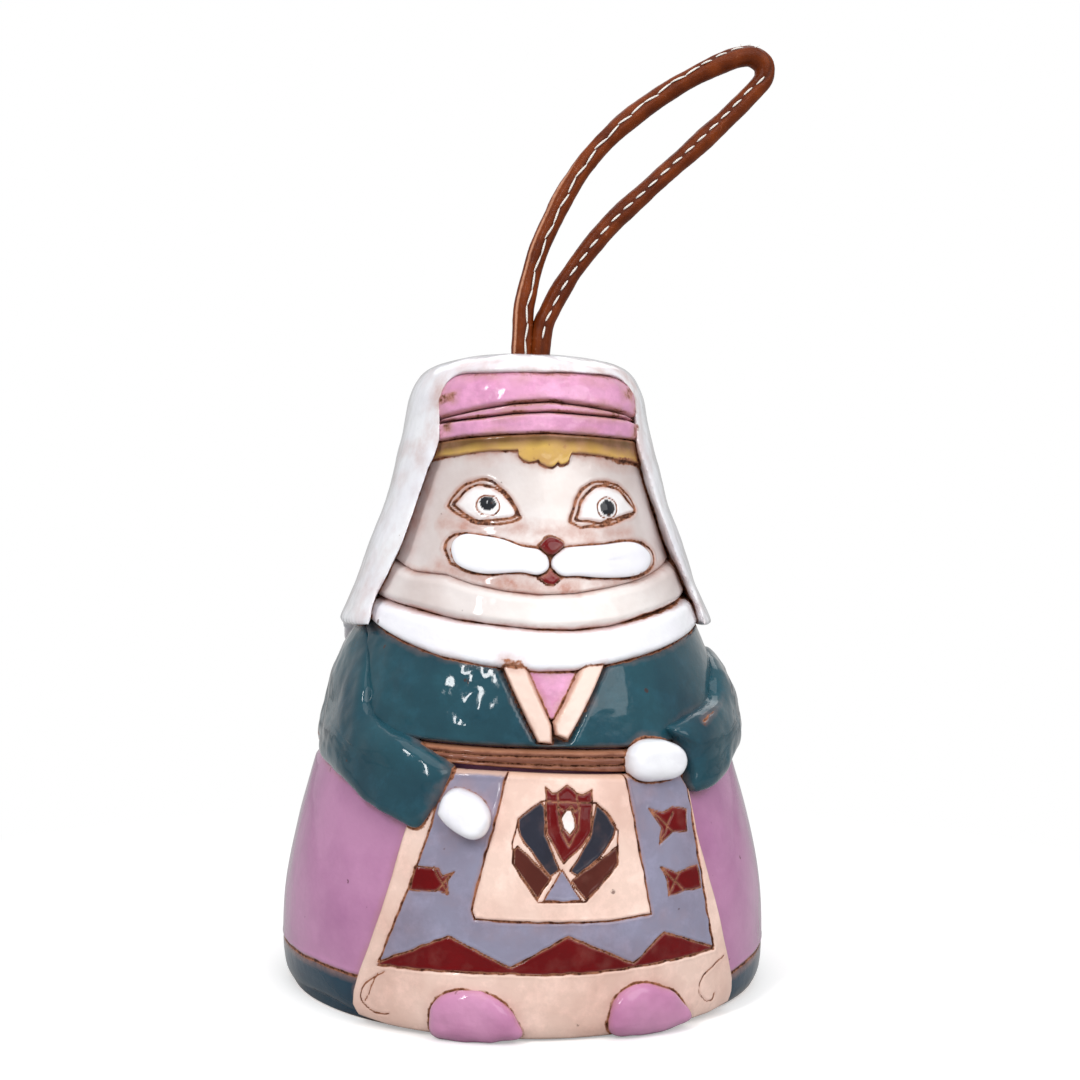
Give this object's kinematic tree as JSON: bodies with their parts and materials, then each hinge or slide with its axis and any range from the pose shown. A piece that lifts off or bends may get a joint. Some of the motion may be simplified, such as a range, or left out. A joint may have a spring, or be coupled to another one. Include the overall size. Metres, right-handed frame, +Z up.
{
  "type": "clay bell",
  "caption": "Glazed clay hand bell shaped as a cat-like figure in folk dress, with a leather hanging loop, a bead clapper and an open hollow skirt.",
  "frame": {"origin": "centre of the standing rim's circle, at the surface that the bell stands on", "axes": "+Z up along the bell's axis, -Y out of the figure's front, +X to the right as seen from the front"},
  "size_m": [0.0815, 0.0798, 0.1553],
  "materials": {
    "pink_glaze": "glossy pink glaze over clay",
    "pale_pink_glaze": "glossy pale pink glaze",
    "white_glaze": "thick glossy white glaze",
    "cream_glaze": "glossy clear glaze over cream clay, stained in its lines",
    "teal_glaze": "glossy dark teal glaze",
    "red_glaze": "glossy dark red glaze",
    "ochre_glaze": "glossy ochre glaze",
    "bare_clay": "satin cream clay with painted glaze cells",
    "brown_oxide": "satin brown oxide wash",
    "leather": "brown stitched leather",
    "cord": "waxed brown cord"
  },
  "bodies": {
    "bell": {"bell_shell": "pink_glaze", "apron": "bare_clay", "belt": "brown_oxide", "jacket": "teal_glaze", "lapel_left": "bare_clay", "lapel_right": "bare_clay", "shirt_front": "pale_pink_glaze", "neck_scarf": "white_glaze", "chin_roll": "cream_glaze", "face": "cream_glaze", "muzzle_left": "white_glaze", "muzzle_right": "white_glaze", "nose": "red_glaze", "hair_fringe": "ochre_glaze", "cap_lower_band": "pale_pink_glaze", "cap_middle_band": "pale_pink_glaze", "cap_upper_band": "pale_pink_glaze", "veil": "white_glaze", "sleeve_left": "teal_glaze", "sleeve_right": "teal_glaze", "hand_left": "white_glaze", "hand_right": "white_glaze", "shoe_left": "pink_glaze", "shoe_right": "pink_glaze", "strap_knot": "leather"},
    "bend": {"strap_bend": "leather"},
    "loop": {"hanging_loop": "leather"},
    "eyelet": {"clapper_eyelet": "cord"},
    "clapper": {"clapper_cord": "cord", "bead_knot_upper": "cord", "bead_knot_lower": "cord"},
    "bead": {"clapper_bead": "teal_glaze"}
  },
  "joints": [
    {"name": "strap_nod", "type": "hinge", "parent": "bell", "child": "bend", "pos_m": [0, 0, 0.102], "axis": [1, 0, 0], "range_deg": [-40, 40]},
    {"name": "strap_lean", "type": "hinge", "parent": "bend", "child": "loop", "pos_m": [0, 0, 0.102], "axis": [0, 1, 0], "range_deg": [-58, 40]},
    {"name": "clapper_turn", "type": "hinge", "parent": "bell", "child": "eyelet", "pos_m": [0, 0, 0.07741], "axis": [0, 0, 1], "continuous": true},
    {"name": "clapper_swing", "type": "hinge", "parent": "eyelet", "child": "clapper", "pos_m": [0, 0, 0.07741], "axis": [1, 0, 0], "range_deg": [-25, 25]},
    {"name": "bead_spin", "type": "hinge", "parent": "clapper", "child": "bead", "pos_m": [0, 0, 0.02281], "axis": [0, 0, 1], "continuous": true}
  ]
}
